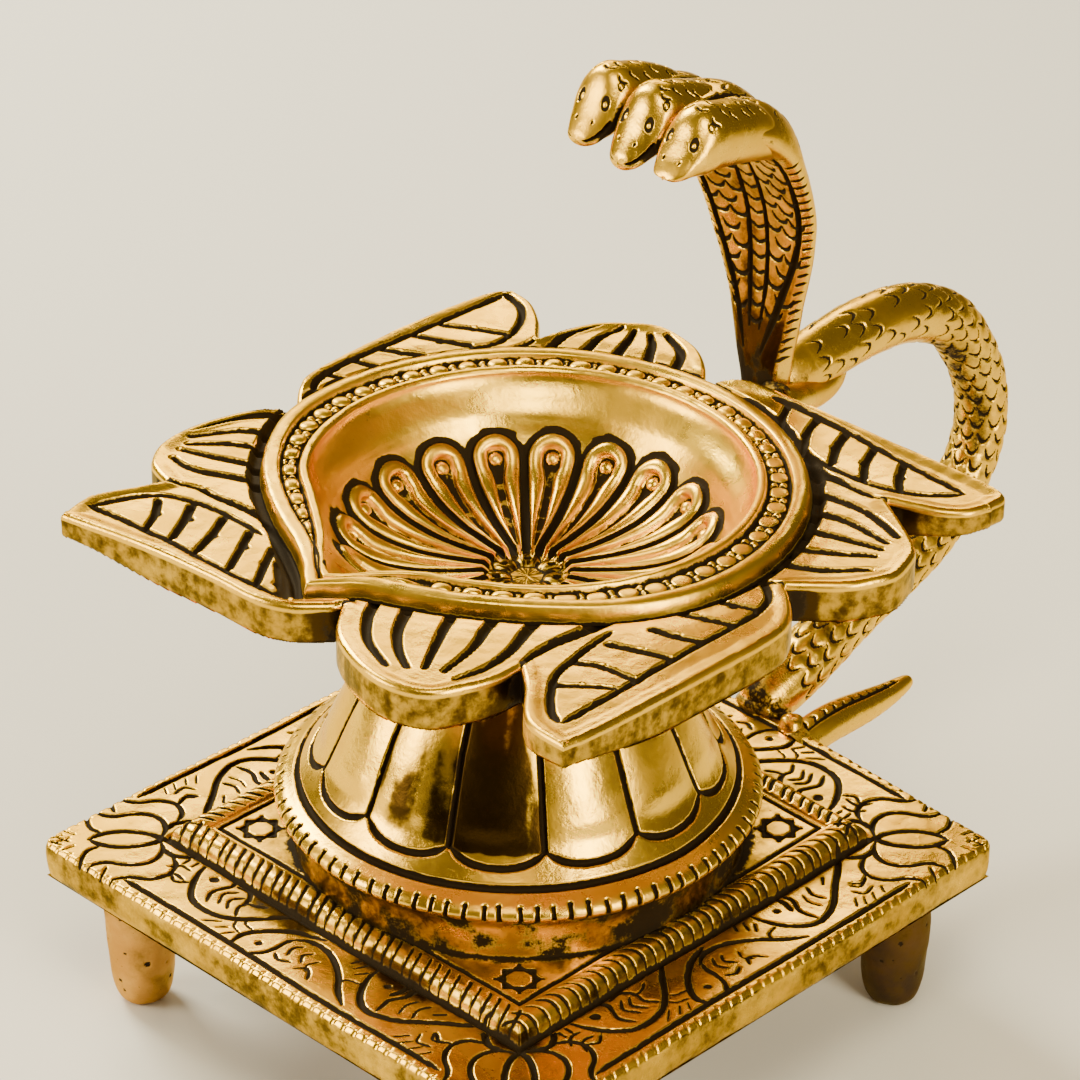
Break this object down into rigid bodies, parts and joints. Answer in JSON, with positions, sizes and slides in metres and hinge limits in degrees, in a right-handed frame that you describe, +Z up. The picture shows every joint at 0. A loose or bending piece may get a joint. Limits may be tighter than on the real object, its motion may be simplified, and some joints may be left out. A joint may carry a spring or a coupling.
{
  "type": "oil lamp",
  "caption": "Cast brass oil lamp: a spouted oil cup in a plate of lotus leaves on a bell stem and a square footed base, carried by a looped cobra handle with raised hoods.",
  "frame": {"origin": "on the ground, under the middle of the square base", "axes": "+Z up, -Y towards the spout, +Y towards the cobra handle, +X to the right seen from the spout end"},
  "size_m": [0.1143, 0.1761, 0.1566],
  "materials": {
    "antique_brass": "polished high spots with black antiquing in the recesses",
    "polished_brass": "polished, with black antiquing in the engraving",
    "foot_brass": "cast and lightly filed",
    "dark_brass": "as cast, dark",
    "plated_steel": "plated"
  },
  "bodies": {
    "root": {"base_plate": "antique_brass", "foot_front_left": "foot_brass", "foot_front_right": "foot_brass", "foot_back_left": "foot_brass", "foot_back_right": "dark_brass", "pedestal": "antique_brass", "petal_plate": "antique_brass", "oil_cup": "polished_brass", "tie_stud": "plated_steel", "tie_washer": "plated_steel", "tie_nut": "plated_steel", "cobra_hood": "antique_brass", "upper_handle_pin": "foot_brass", "snake_body": "antique_brass", "lower_handle_pin": "foot_brass", "snake_tail": "antique_brass"}
  },
  "joints": []
}
